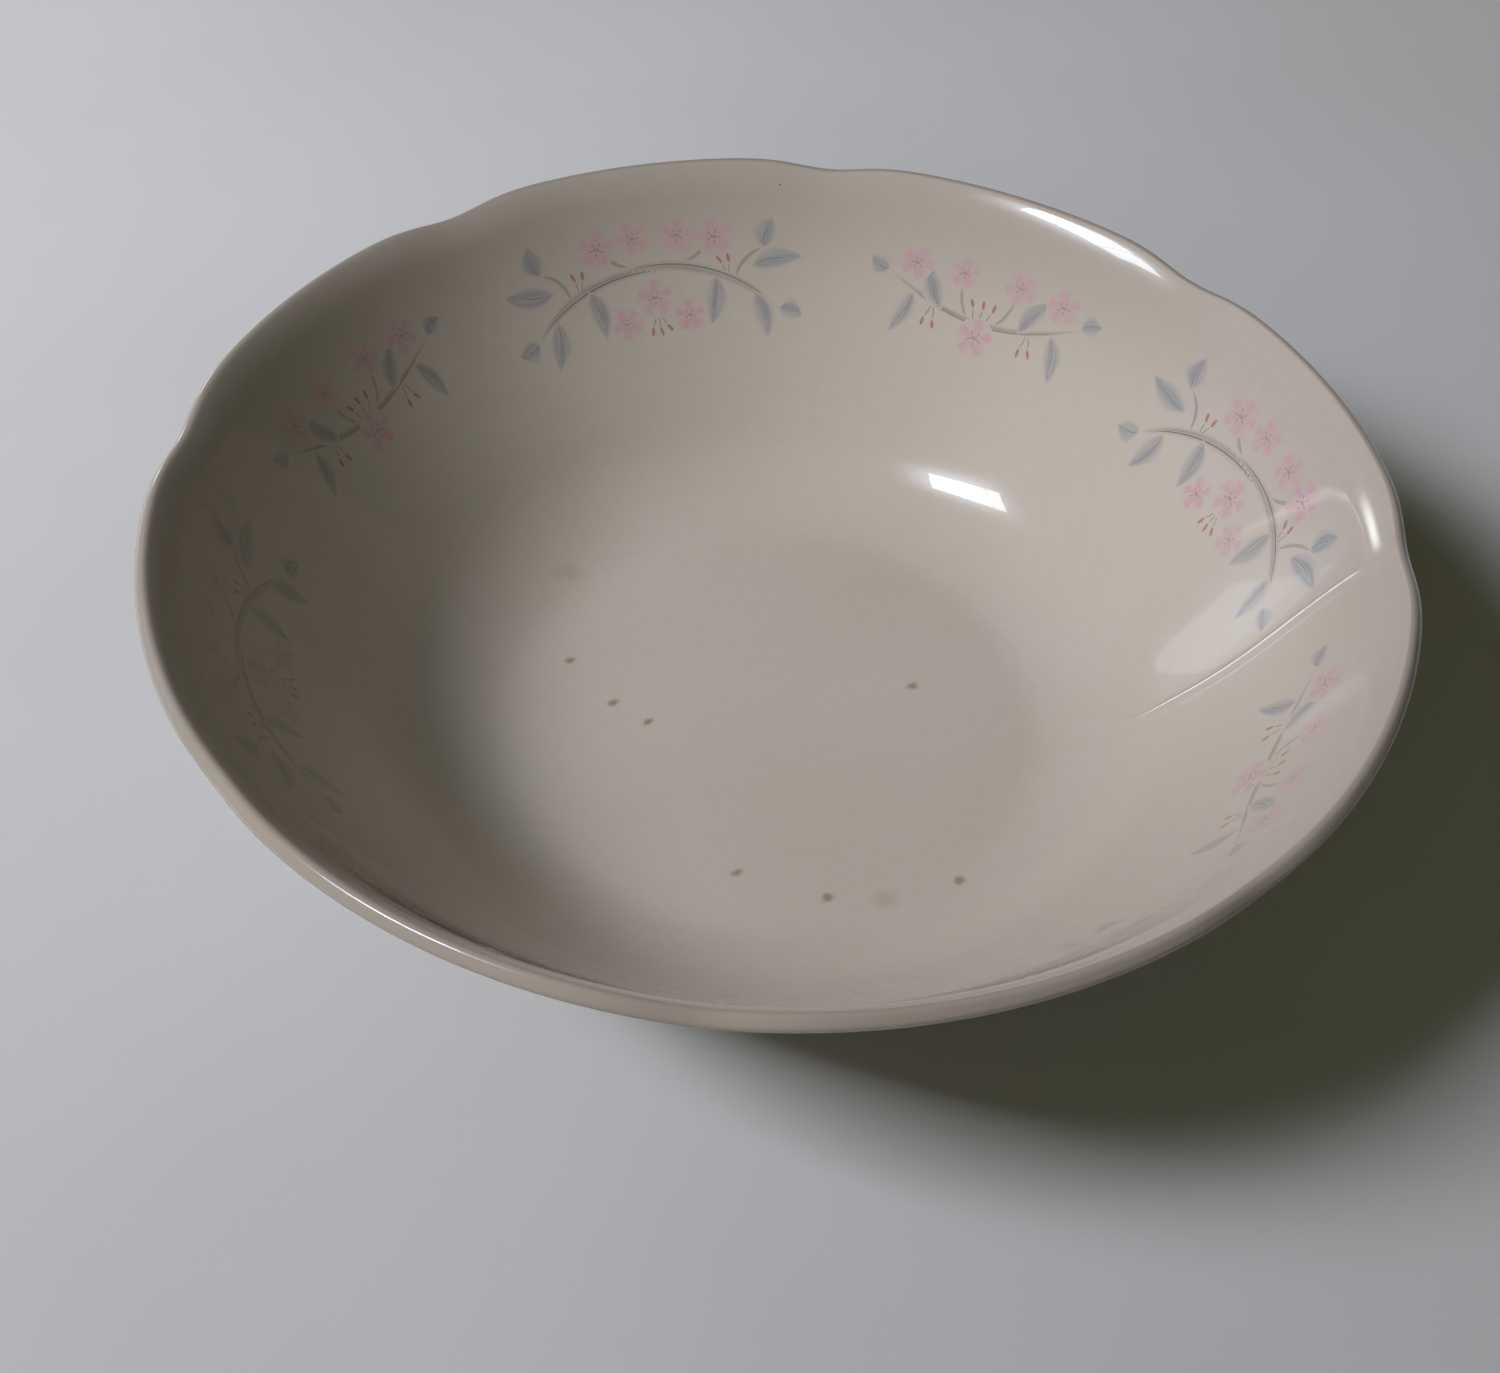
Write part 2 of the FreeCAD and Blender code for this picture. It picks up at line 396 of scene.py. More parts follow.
# %% [markdown]
# ## The glaze
# Fired glaze on old white ware is not one flat cream. It has slow warm clouds where it lies thicker, a
# fine grain, and here and there a dark speck of iron from the clay. Shade is painted into it as well: a
# little painted shade high on the wall, and darker painted shade on the squared end of the lip. Its skin
# is a little wavy, like orange peel. Prints are fired into the same glaze and must show the same ground
# around them, so this is a group that glaze and prints share. A picture could hold such marks, but noise
# in the object's own space has no seams and runs on unbroken from one piece to the next.

# %% The glaze's tone, shared by glaze and prints
FLOAT, COLOUR = "NodeSocketFloat", "NodeSocketColor"
CLOUDS, GRAIN, PEEL, SPECK_CELLS = 14, 420, 190, 95      # how fine each pattern is, in turns per metre
CLOUD_TONE = (0.93, 0.915, 0.87, 1)      # each tone multiplies the colour of the glaze
# painted shade: this tone darkens the wall towards the rim
UPPER_SHADE_TONE = (0.86, 0.85, 0.85, 1)
# painted shade: this tone darkens the squared end of the lip
LIP_SHADE_TONE = (0.74, 0.72, 0.7, 1)
IRON_COLOUR = from_srgb(96, 82, 66)
UPPER_SHADE_BELOW, UPPER_SHADE_FROM = 4 * MM, 30 * MM  # under the rim, where the painted shade of the upper wall is full and begins
LIP_END = lip.dot(ahead(Vector((0, 0)), 1, LIP_SLOPE)) + LIP_ROUND + GLAZE
LIP_FULL, LIP_FROM = 0.6 * MM, 1.1 * MM  # behind that end, where the painted shade of the lip is full and begins


def lip_shade_mask(tree, place):
    """1 on the squared end of the lip, where its shade is painted, also where a fold lowers it."""
    turn = maths(tree, "ARCTAN2", place["Y"], place["X"])
    off = times(tree, maths(tree, "PINGPONG", turn, LOBE / 2), RIM_RADIUS / FOLD_HALF_WIDTH)
    fold = maths(tree, "EXPONENT", times(tree, times(tree, off, off), -1))
    squares = plus(tree, maths(tree, "POWER", place["X"], 2), maths(tree, "POWER", place["Y"], 2))
    out = times(tree, maths(tree, "POWER", squares, 0.5), math.cos(LIP_SLOPE))
    up = times(tree, place["Z"], math.sin(LIP_SLOPE))
    lowered = FOLD_INSET * math.cos(LIP_SLOPE) + FOLD_DROP * math.sin(LIP_SLOPE)
    end = plus(tree, plus(tree, out, up), times(tree, fold, lowered))
    return ease(tree, end, LIP_END - LIP_FROM, LIP_END - LIP_FULL)


def make_glaze_tone():
    given = [("Colour", COLOUR, (0.4, 0.4, 0.4, 1)), ("Clouds", FLOAT, 1.0), ("Specks", FLOAT, 1.0)]
    group, given, result = new_group("glaze_tone", given, [("Colour", COLOUR), ("Peel", FLOAT)])
    place = place_on_object(group)
    slow = ease(group, noise(group, place, CLOUDS, 3), 0.25, 0.8)
    grain = ease(group, noise(group, place, GRAIN, 1), 0.25, 0.75)
    share = plus(group, times(group, slow, 0.75), times(group, grain, 0.25))
    warmer = tint(group, given["Colour"], CLOUD_TONE)
    clouded = blend(group, times(group, share, given["Clouds"]), given["Colour"], warmer)
    height = group.nodes.new("ShaderNodeSeparateXYZ")
    feed(group, height.inputs[0], place)
    # painted shade: the wall grows darker towards the rim
    upper_shade = ease(group, height.outputs["Z"], HEIGHT - UPPER_SHADE_FROM, HEIGHT - UPPER_SHADE_BELOW)
    upper_shaded = blend(group, upper_shade, clouded, tint(group, clouded, UPPER_SHADE_TONE))
    # painted shade on the squared end of the lip
    lip_shaded = blend(group, lip_shade_mask(group, height.outputs), upper_shaded, tint(group, upper_shaded, LIP_SHADE_TONE))

    cells = group.nodes.new("ShaderNodeTexVoronoi")
    cells.inputs["Scale"].default_value = SPECK_CELLS
    feed(group, cells.inputs["Vector"], place)
    split = group.nodes.new("ShaderNodeSeparateColor")
    feed(group, split.inputs["Color"], cells.outputs["Color"])
    picked = ease(group, split.outputs["Red"], 0.84, 0.88)
    dot = ease(group, cells.outputs["Distance"], 0.035, 0.015)
    speck = times(group, times(group, picked, dot), given["Specks"])
    feed(group, result["Colour"], blend(group, speck, lip_shaded, IRON_COLOUR))
    feed(group, result["Peel"], noise(group, place, PEEL, 1))
    return group


glaze_tone = make_glaze_tone()
print("glaze_tone has", len(glaze_tone.nodes), "nodes")

# %% Glossy pottery
GLAZE_COLOUR = from_srgb(173, 165, 148)
PEEL_DEPTH = 0.004 * MM


def glossy_pottery(name):
    """A material with the glaze's gloss: a sharp clear coat over a body that scatters more softly."""
    material = bpy.data.materials.new(name)
    material.use_nodes = True
    shader = material.node_tree.nodes["Principled BSDF"]
    shader.inputs["Roughness"].default_value = 0.24
    shader.inputs["Specular IOR Level"].default_value = 0.2
    shader.inputs["Coat Weight"].default_value = 1.0
    shader.inputs["Coat Roughness"].default_value = 0.03
    return material, material.node_tree, shader


def wavy_skin(tree, shader, height, depth):
    """Small waves of this depth, too fine to be worth a mesh."""
    bump = tree.nodes.new("ShaderNodeBump")
    bump.inputs["Distance"].default_value = depth
    feed(tree, bump.inputs["Height"], height)
    feed(tree, shader.inputs["Normal"], bump.outputs["Normal"])


# %% [markdown]
# ## Marks of use, and a painted highlight
# The bowl has been eaten from. Small brown marks lie on the floor, two faint smears beside them, and the
# lip is stained at the sharp fold, where its glaze is thin. Each mark is a soft ball around a place on the
# object: wherever the surface passes through a ball it is stained, and noise frays the ball's edge. Along
# the crest of that fold runs a painted highlight, a hair-thin pale line, which follows the crest's own
# wave.

# %% Marks, with their places, sizes and lengths in millimetres
SPECKS = (((-45.9, 9.9, 9.5), 1.2, 1.9), ((-34.2, -1.6, 9.5), 1.3, 2.0), ((-25.8, -6.1, 9.5), 1.1, 1.8),
          ((30.7, 12.3, 9.5), 1.4, 1.9), ((-2.0, -44.1, 9.5), 1.1, 1.9), ((16.7, -47.9, 9.5), 1.5, 1.9),
          ((42.8, -40.5, 9.5), 1.7, 1.8))
SMEARS = (((-52, 37, 9.6), 3.6, 6.5), ((28, -46.9, 9.6), 3.2, 3.6), ((118.0, 2.4, 73.0), 3.0, 3.5))
SPECK_TURN, SMEAR_TURN = math.radians(38), math.radians(8)      # the way in which they were wiped
SPECK_SHARE, SMEAR_SHARE = 0.75, 0.3                            # how much of the glaze they hide
SPECK_COLOUR, SMEAR_COLOUR = from_srgb(118, 98, 70), from_srgb(140, 118, 84)
# painted highlight: the colour of the pale line along the sharp crest
CREST_HIGHLIGHT_COLOUR = from_srgb(232, 228, 222)
CREST_LINE, CREST_BLUR = 0.08 * MM, 0.3 * MM                    # half the line's width, full and faded
CREST_GRAIN, CREST_FRAY = 300, 0.25 * MM                        # noise moves the line to both sides
CREST_FROM, CREST_SEEN = FLOOR_RADIUS + 20 * MM, FLOOR_RADIUS + 26 * MM      # it begins, and is full
CREST_GONE = CREST_END + 3 * MM                                 # it ends at this height
MARK_GRAIN, MARK_FRAY = 700, 0.9                                # noise frays a mark's edge


def marks(tree, places, turn, edge):
    """1 inside any of these long balls, fading to 0 over a share of their size."""
    place = place_on_object(tree)
    fray = times(tree, minus(tree, noise(tree, place, MARK_GRAIN, 3), 0.5), MARK_FRAY)
    total = 0.0
    for centre, width, length in places:
        from_centre = tree.nodes.new("ShaderNodeMapping")
        from_centre.vector_type = "TEXTURE"
        from_centre.inputs["Location"].default_value = Vector(centre) * MM
        from_centre.inputs["Rotation"].default_value = (0, 0, turn)
        from_centre.inputs["Scale"].default_value = (length * MM, width * MM, width * MM)
        feed(tree, from_centre.inputs["Vector"], place)
        gap = tree.nodes.new("ShaderNodeVectorMath")
        gap.operation = "LENGTH"
        feed(tree, gap.inputs[0], from_centre.outputs["Vector"])
        distance = plus(tree, gap.outputs["Value"], fray)
        total = maths(tree, "MAXIMUM", ease(tree, distance, 1, edge), total)
    return total


def crest_highlight(tree):
    """A painted highlight: a hair-thin pale line along the sharp crest, where a window glints on it."""
    place = place_on_object(tree)
    split = tree.nodes.new("ShaderNodeSeparateXYZ")
    feed(tree, split.inputs[0], place)
    wave = maths(tree, "SINE", times(tree, split.outputs["Z"], FULL_TURN / CREST_WAVE))
    turn = maths(tree, "DIVIDE", split.outputs["Y"], split.outputs["X"])
    off = minus(tree, times(tree, turn, RIM_RADIUS), times(tree, wave, CREST_SWAY))
    fray = times(tree, minus(tree, noise(tree, place, CREST_GRAIN, 2), 0.5), CREST_FRAY)
    line = ease(tree, maths(tree, "ABSOLUTE", plus(tree, off, fray)), CREST_BLUR, CREST_LINE)
    inside = ease(tree, split.outputs["X"], CREST_FROM, CREST_SEEN)
    below_lip = ease(tree, split.outputs["Z"], CREST_GONE, CREST_END)
    highlight_gaps = ease(tree, noise(tree, place, 260, 2), 0.2, 0.5)
    return times(tree, times(tree, line, inside), times(tree, below_lip, highlight_gaps))


def make_glaze(name, stains_and_highlight):
    material, tree, shader = glossy_pottery(name)
    tone = use_group(tree, glaze_tone, Colour=GLAZE_COLOUR)
    colour = tone["Colour"]
    if stains_and_highlight:
        smeared = times(tree, marks(tree, SMEARS, SMEAR_TURN, edge=0.1), SMEAR_SHARE)
        colour = blend(tree, smeared, colour, SMEAR_COLOUR)
        specked = times(tree, marks(tree, SPECKS, SPECK_TURN, edge=0.2), SPECK_SHARE)
        colour = blend(tree, specked, colour, SPECK_COLOUR)
        # painted highlight: a pale line along the sharp crest
        colour = blend(tree, crest_highlight(tree), colour, CREST_HIGHLIGHT_COLOUR)
    feed(tree, shader.inputs["Base Color"], colour)
    wavy_skin(tree, shader, tone["Peel"], PEEL_DEPTH)
    return material


glaze_finish = make_glaze("cream_glaze", stains_and_highlight=True)
well_finish = make_glaze("cream_glaze_below", stains_and_highlight=False)
print("marks of use", len(SPECKS) + len(SMEARS))

# %% [markdown]
# ## The bare clay
# Only the rim of the foot shows it, where the glaze was wiped off so that the bowl didn't stick to the
# kiln shelf. Fired clay is matt and sandy, and years of sliding on shelves have greyed the very bottom.

# %% Fired clay
CLAY_PALE, CLAY_DARK = from_srgb(206, 198, 184), from_srgb(188, 177, 160)
CLAY_WORN = from_srgb(158, 149, 135)
WORN_FROM, WORN_FULL = 0.9 * MM, 0.1 * MM      # heights at which the wear begins and is full
SAND = 1400                                    # its grains, in turns per metre
SAND_DEPTH = 0.06 * MM


def make_fired_clay():
    material = bpy.data.materials.new("fired_clay")
    material.use_nodes = True
    tree = material.node_tree
    shader = tree.nodes["Principled BSDF"]
    place = place_on_object(tree)
    grain = noise(tree, place, SAND, 3)
    colour = blend(tree, ease(tree, grain, 0.3, 0.7), CLAY_PALE, CLAY_DARK)
    height = tree.nodes.new("ShaderNodeSeparateXYZ")
    feed(tree, height.inputs[0], place)
    low = ease(tree, height.outputs["Z"], WORN_FROM, WORN_FULL)
    worn = times(tree, low, ease(tree, noise(tree, place, 260, 4), 0.2, 0.9))
    feed(tree, shader.inputs["Base Color"], blend(tree, worn, colour, CLAY_WORN))
    feed(tree, shader.inputs["Roughness"], minus(tree, 0.85, times(tree, worn, 0.25)))
    wavy_skin(tree, shader, grain, SAND_DEPTH)
    return material


clay_finish = make_fired_clay()

# %% [markdown]
# ## Glaze, clay and well
# The glaze is a skin of its own thickness, open only at the wiped foot. The clay inside it is one closed
# body. The hollow under the bowl has its own small disc of glaze, because the bare foot cuts it off.

# %% The glazed surface
shell = bmesh.new()
pen, floor_corner = draw_inside(shell, GLAZE)
foot_corner = draw_outside(shell, pen, GLAZE)
draw_line(shell, foot_corner, Vector((foot_side(BARE_HEIGHT, GLAZE, 1), BARE_HEIGHT)), steps=5)
soften(shell, floor_corner, FLOOR_ROUND)
soften(shell, foot_corner, CORNER_ROUND)
turn_on_wheel(shell, RINGS)
bmesh.ops.solidify(shell, geom=shell.faces[:], thickness=GLAZE)
glaze_skin = finished(shell, "glaze_skin", glaze_finish)
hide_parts("glaze_coat")

# %% The clay body
clay = bmesh.new()
pen, floor_corner = draw_inside(clay, 0)
foot_corner = draw_outside(clay, pen, 0)
outer_edge = draw_line(clay, foot_corner, Vector((foot_side(0, 0, 1), 0)), steps=5)
inner_edge = draw_line(clay, outer_edge, Vector((foot_side(0, 0, -1), 0)), steps=4)
ceiling = FLOOR_HEIGHT - FLOOR_THICKNESS
well_corner = draw_line(clay, inner_edge, Vector((foot_side(ceiling, 0, -1), ceiling)), steps=4)
draw_line(clay, well_corner, Vector((0, ceiling)), steps=8)
soften(clay, floor_corner, FLOOR_ROUND)
soften(clay, foot_corner, CORNER_ROUND)
for corner in (outer_edge, inner_edge):
    soften(clay, corner, FOOT_ROUND)
soften(clay, well_corner, CORNER_ROUND)
turn_on_wheel(clay, RINGS // 2)
clay_body = finished(clay, "clay_body", clay_finish)
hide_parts("bowl_body")

# %% The glaze inside the foot ring
well = bmesh.new()
glazed = ceiling - GLAZE
pen = well.verts.new((0, 0, glazed))
well_corner = draw_line(well, pen, Vector((foot_side(glazed, GLAZE, -1), glazed)), steps=8)
draw_line(well, well_corner, Vector((foot_side(BARE_HEIGHT, GLAZE, -1), BARE_HEIGHT)), steps=3)
soften(well, well_corner, CORNER_ROUND)
turn_on_wheel(well, RINGS // 2)
bmesh.ops.reverse_faces(well, faces=[face for face in well.faces if face.normal.z > 0.1])
bmesh.ops.solidify(well, geom=well.faces[:], thickness=GLAZE)
well_glaze = finished(well, "well_glaze", well_finish)
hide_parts("glaze_underside")

# %% [markdown]
# ## The printed flowers
# The flowers came off a printed sheet and were fired onto the glaze, so each spray is a very thin film that
# sits on the glaze. They look brushed: soft dabs of pink, blue-grey leaves, brown stems, and small red
# berries. A picture on a flat patch would be one way. Here every brush stroke is a thin film of its own
# outline instead, so the drawing is in the mesh and stays sharp at any size. The colour inside a stroke
# comes from its own map, thin at the edges and streaked along the brush.

# %% The brush's wash, shared by all the paints
STREAK_SCALE = (1.2, 6, 1)      # across a stroke the streaks are finer than along it
STREAK_DRIFT = (60, 60, 60)     # their pattern changes with the place on the bowl, so no two strokes match


def make_brush_wash():
    given = [("Load", FLOAT, 0.7), ("Soft Edge", FLOAT, 0.6), ("Streaks", FLOAT, 0.4)]
    group, given, result = new_group("brush_wash", given, [("Density", FLOAT)])
    on_stroke = group.nodes.new("ShaderNodeUVMap")
    on_stroke.uv_map = "brush"
    split = group.nodes.new("ShaderNodeSeparateXYZ")
    feed(group, split.inputs[0], on_stroke.outputs["UV"])

    def from_edge(share):
        folded_over = maths(group, "ABSOLUTE", minus(group, times(group, share, 2), 1))
        return minus(group, 1, folded_over)

    sides = ease(group, from_edge(split.outputs["Y"]), 0, given["Soft Edge"])
    ends = ease(group, from_edge(split.outputs["X"]), 0, times(group, given["Soft Edge"], 0.7))
    bristles = group.nodes.new("ShaderNodeMapping")
    feed(group, bristles.inputs["Vector"], on_stroke.outputs["UV"])
    bristles.inputs["Scale"].default_value = STREAK_SCALE
    shifted = group.nodes.new("ShaderNodeVectorMath")
    shifted.operation = "MULTIPLY_ADD"
    feed(group, shifted.inputs[0], place_on_object(group))
    shifted.inputs[1].default_value = STREAK_DRIFT
    feed(group, shifted.inputs[2], bristles.outputs["Vector"])
    streak = times(group, ease(group, noise(group, shifted.outputs[0], 1, 2), 0.3, 0.7), given["Streaks"])
    density = times(group, times(group, sides, ends), minus(group, 1, streak))
    feed(group, result["Density"], times(group, density, given["Load"]))
    return group


brush_wash = make_brush_wash()


def make_paint(name, colour, load, soft, streaks):
    """A ceramic colour under the same gloss as the glaze, whose tone shows where the wash is thin."""
    material, tree, shader = glossy_pottery(name)
    tone = use_group(tree, glaze_tone, Colour=GLAZE_COLOUR, Specks=0.0)
    wash = use_group(tree, brush_wash, **{"Load": load, "Soft Edge": soft, "Streaks": streaks})
    feed(tree, shader.inputs["Base Color"], blend(tree, wash["Density"], tone["Colour"], colour))
    wavy_skin(tree, shader, tone["Peel"], PEEL_DEPTH)
    return material


# For each kind of stroke: its colour, how full the brush is, how soft its edge is, and how streaky.
paints = {"petal": make_paint("dusty_pink", from_srgb(176, 126, 138), 0.72, 1.0, 0.45),
          "heart": make_paint("deep_pink", from_srgb(146, 82, 92), 0.7, 0.9, 0.4),
          "leaf": make_paint("blue_grey", from_srgb(108, 116, 122), 0.75, 0.8, 0.5),
          "stem": make_paint("grey_brown", from_srgb(106, 96, 92), 0.68, 1.0, 0.45),
          "line": make_paint("dark_brown", from_srgb(74, 68, 66), 0.85, 0.9, 0.3),
          "berry": make_paint("rust_red", from_srgb(142, 62, 56), 0.85, 0.8, 0.3)}
print("paints", list(paints))

# %% One stroke of the brush
FILM_LIFT = 0.014 * MM       # a stroke's front above the glaze
FILM_BACK = 0.003 * MM       # and its back
LAYER_STEP = 0.003 * MM      # between one kind of stroke and the kind painted over it
PAINT_ORDER = list(paints)


# Each shape gives a stroke's width at this share of its length. It is never nought, so every face has area.
def leaf_shape(share):
    return max(math.sin(math.pi * share ** 0.85), 0.04)


def petal_shape(share):
    beyond = max(share - 0.6, 0) / 0.4
    return max((0.3 + 0.7 * math.sin(QUARTER * min(share / 0.6, 1))) * math.sqrt(1 - beyond ** 2), 0.08)


def dab_shape(share):
    return max(math.sqrt(1 - (2 * share - 1) ** 2), 0.1)


def stem_shape(share):
    return max(math.sin(math.pi * share), 0) ** 0.4 + 0.05


def stroke(bm, paint, start, run, width, shape, bow, layer, steps):
    """A strip of film along a run from start, bowed to its left and as wide as its shape says."""
    painted = bmesh.ops.create_grid(bm, x_segments=steps, y_segments=4, size=0.5, calc_uvs=True)["verts"]
    side = Vector((-run.y, run.x)) / run.length
    for vertex in painted:
        share = (1 - math.cos(math.pi * (vertex.co.x + 0.5))) / 2
        aside = 4 * bow * share * (1 - share) + vertex.co.y * width * shape(share)
        place = start + run * share + side * aside
        vertex.co = (place.x, place.y, FILM_LIFT + LAYER_STEP * layer)
    for face in {face for vertex in painted for face in vertex.link_faces}:
        face.material_index = PAINT_ORDER.index(paint)


def at(along, up):
    return Vector((along, up)) * MM


def towards(degrees, length):
    return length * MM * Vector((math.cos(math.radians(degrees)), math.sin(math.radians(degrees))))


# %% [markdown]
# A leaf is one broad stroke with a dark vein, a blossom is five round petals about a deep pink heart, and
# a berry is a red dab on a hair-thin stalk. A stem is a long bowed stroke. Later kinds lie a hair higher
# than earlier ones, as one colour is printed over another.

# %% Leaves, blossoms, berries and stems
BOLDER = 1.15                # leaves and blossoms beside the sizes in the designs
SHADE = 0.25                 # the dark line along a stem, as a share of its width
SHADE_ASIDE = 0.4            # and how far it lies to the side, in millimetres like all bows
LEAF_BOW = 0.8 * MM
VEIN_SHARE, VEIN_WIDTH = 0.75, 0.5 * MM
PETALS = 5
STALK_WIDTH, STALK_BOW = 0.35 * MM, 0.2 * MM
BERRY_LENGTH, BERRY_WIDTH = 2.3, 1.2 * MM
BERRY_TURN = 12              # degrees by which a berry hangs askew of its stalk


def stem(bm, start, end, bow, width=3.0, layer=0):
    run = end - start
    stroke(bm, "stem", start, run, width * MM, stem_shape, bow * MM, layer, steps=30)
    stroke(bm, "line", start, run, SHADE * width * MM, stem_shape, (bow - SHADE_ASIDE) * MM,
           layer + 0.5, steps=30)


def leaf(bm, foot, degrees, length, width=6.6):
    length *= BOLDER
    stroke(bm, "leaf", foot, towards(degrees, length), width * MM, leaf_shape, LEAF_BOW, layer=2, steps=12)
    stroke(bm, "line", foot, towards(degrees, VEIN_SHARE * length), VEIN_WIDTH, stem_shape, LEAF_BOW,
           layer=3, steps=10)


def blossom(bm, middle, size, turn):
    """Petals that overlap a little, a short dab between each two, and one dab in the middle."""
    size *= BOLDER
    for petal in range(PETALS):
        degrees = turn + 360 / PETALS * petal
        start, between_two = middle + towards(degrees, 0.1 * size), degrees + 180 / PETALS
        stroke(bm, "petal", start, towards(degrees, 0.9 * size), 1.3 * size * MM, petal_shape, 0,
               layer=4 + 0.2 * petal, steps=8)
        stroke(bm, "heart", middle, towards(between_two, 0.45 * size), 0.2 * size * MM, dab_shape, 0,
               layer=5.4, steps=6)
    stroke(bm, "heart", middle - at(0.2 * size, 0), at(0.4 * size, 0), 0.4 * size * MM, dab_shape, 0,
           layer=6, steps=6)


def berry(bm, foot, degrees, stalk=2.6):
    end = foot + towards(degrees, stalk)
    stroke(bm, "line", foot, end - foot, STALK_WIDTH, stem_shape, STALK_BOW, layer=1.5, steps=6)
    run = towards(degrees + BERRY_TURN, BERRY_LENGTH)
    stroke(bm, "berry", end, run, BERRY_WIDTH, dab_shape, 0, layer=3, steps=6)


# %% The two designs
# Places, lengths and sizes are in millimetres from a design's middle, and turns are in degrees.
def draw_spray(bm):
    """The large design: two stems arch towards each other and cross, with seven blossoms about them."""
    stem(bm, at(-31, -7), at(6, 3), 4)
    stem(bm, at(31, -7), at(-7, 4), -4, layer=0.3)
    for start, end, bow in ((at(-20, -0.6), at(-26, 7.6), -1.4), (at(20, -0.4), at(27, 7.4), 1.4),
                            (at(-5, 4.9), at(-10, 8.6), 0.9), (at(8, 4.6), at(14, 9.4), -0.9)):
        stem(bm, start, end, bow, width=1.0, layer=0.8)
    leaves = ((at(-31, -7), 193, 5.4), (at(-25, -3.9), 254, 10), (at(-15.5, 1), 280, 10.5),
              (at(-23.8, 2.6), 166, 11), (at(-26, 7.4), 98, 6.6), (at(15.5, 1), 262, 10.5),
              (at(25, -3.2), 288, 10), (at(31, -7), -13, 5.4), (at(24.2, 2.6), 16, 11),
              (at(27, 7.2), 74, 6.6))
    for foot, degrees, length in leaves:
        leaf(bm, foot, degrees, length)
    blossoms = ((at(-11.8, 10.2), 3.9, 10), (at(-3.2, 11.2), 3.4, 40), (at(7, 10.8), 3.5, 5),
                (at(15.4, 9.9), 3.9, 30), (at(0.3, -3), 4.1, 18), (at(-7.6, -8.2), 3.5, 50),
                (at(8.6, -8), 3.5, 22))
    for middle, size, turn in blossoms:
        blossom(bm, middle, size, turn)
    berries = ((at(-17.6, 1.4), 100), (at(-17, 1.4), 74), (at(19, 1.2), 92), (at(18.4, 1.2), 116),
               (at(-0.2, -7.4), 248), (at(0.4, -7.4), 275), (at(1, -7.4), 302))
    for foot, degrees in berries:
        berry(bm, foot, degrees)


def draw_sprig(bm):
    """The small design: one hanging garland, with a blossom at its foot and four above it."""
    stem(bm, at(-24, 5), at(24, 5), -7.6, width=2.0)
    for start, end, bow in ((at(-3, -2.4), at(-6.4, 5), 0.9), (at(3, -2.4), at(6.6, 5.6), -0.9)):
        stem(bm, start, end, bow, width=0.8, layer=0.8)
    leaves = ((at(-24, 5), 150, 4.6), (at(-17.6, 1), 248, 10), (at(-10, -1.6), 118, 9.5),
              (at(17.6, 1), 292, 10), (at(10, -1.6), 62, 9.5), (at(24, 5), 30, 4.6))
    for foot, degrees, length in leaves:
        leaf(bm, foot, degrees, length, width=5.6)
    blossoms = ((at(0, -6), 4.2, 18), (at(-18, 7.6), 3.6, 0), (at(18, 7.8), 3.6, 36),
                (at(-6.6, 7.8), 3.3, 20), (at(7, 8.2), 3.4, 55))
    for middle, size, turn in blossoms:
        blossom(bm, middle, size, turn)
    berries = ((at(-1.4, -2.4), 108), (at(0, -2.4), 90), (at(1.4, -2.4), 72), (at(-12.6, -1.2), 250),
               (at(-12, -1.4), 278), (at(12.6, -1.2), 290), (at(12, -1.4), 262))
    for foot, degrees in berries:
        berry(bm, foot, degrees, stalk=3.2)


# %% [markdown]
# A design is drawn flat and then wrapped onto the wall: along the drawing becomes an angle round the bowl,
# and up becomes an angle on the wall's own arc. Every stroke keeps its back just above the glaze and its
# front a hair higher, so the film hides no gap even when it is seen from the side. Both designs go into
# every second lobe.

# %% Wrapping a design onto a lobe
PRINT_DROP = 23 * MM         # from the top of the lip to a design's middle
STROKE_EDGE = math.radians(40)      # a stroke's side meets its front more sharply than this
film_radius = WALL_RADIUS - HALF_WALL - GLAZE
print_level = -math.asin((wall.y - HEIGHT + PRINT_DROP) / film_radius)
print_reach = ahead(wall, film_radius, print_level).x


def onto_wall(bm, middle):
    for vertex in bm.verts:
        place = ahead(wall, film_radius - vertex.co.z, print_level + vertex.co.y / film_radius)
        turn = middle - vertex.co.x / print_reach
        vertex.co = folded(Vector((place.x * math.cos(turn), place.x * math.sin(turn), place.y)))


def transfer(name, draw, lobe, node):
    film = bmesh.new()
    film.loops.layers.uv.new("brush")
    draw(film)
    fronts = set(film.verts)
    bmesh.ops.solidify(film, geom=film.faces[:], thickness=FILM_LIFT)
    for back in set(film.verts) - fronts:
        back.co.z = FILM_BACK
    bmesh.ops.recalc_face_normals(film, faces=film.faces[:])
    onto_wall(film, (lobe + 0.5) * LOBE)
    piece = finished(film, name, paints[PAINT_ORDER[0]])
    for paint in PAINT_ORDER[1:]:
        piece.data.materials.append(paints[paint])
    piece.data.set_sharp_from_angle(angle=STROKE_EDGE)
    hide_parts(node)


for number in range(LOBES // 2):
    transfer(f"flower_spray_{number + 1}", draw_spray, 2 * number, f"spray_transfer_{number + 1}")
    transfer(f"flower_sprig_{number + 1}", draw_sprig, 2 * number + 1, f"sprig_transfer_{number + 1}")

# %% [markdown]
# ## The table
# The bowl stands on a pale grey table top with a satin finish, which looks bluish in the daylight. A large
# flat grid serves. Its edge would give it away, so far from the bowl the table fades into the colour of the
# background. Its far left part catches more of the room's light: a slow drift of its colour stands in for
# that, so that no lamp has to shine into the bowl from over there.

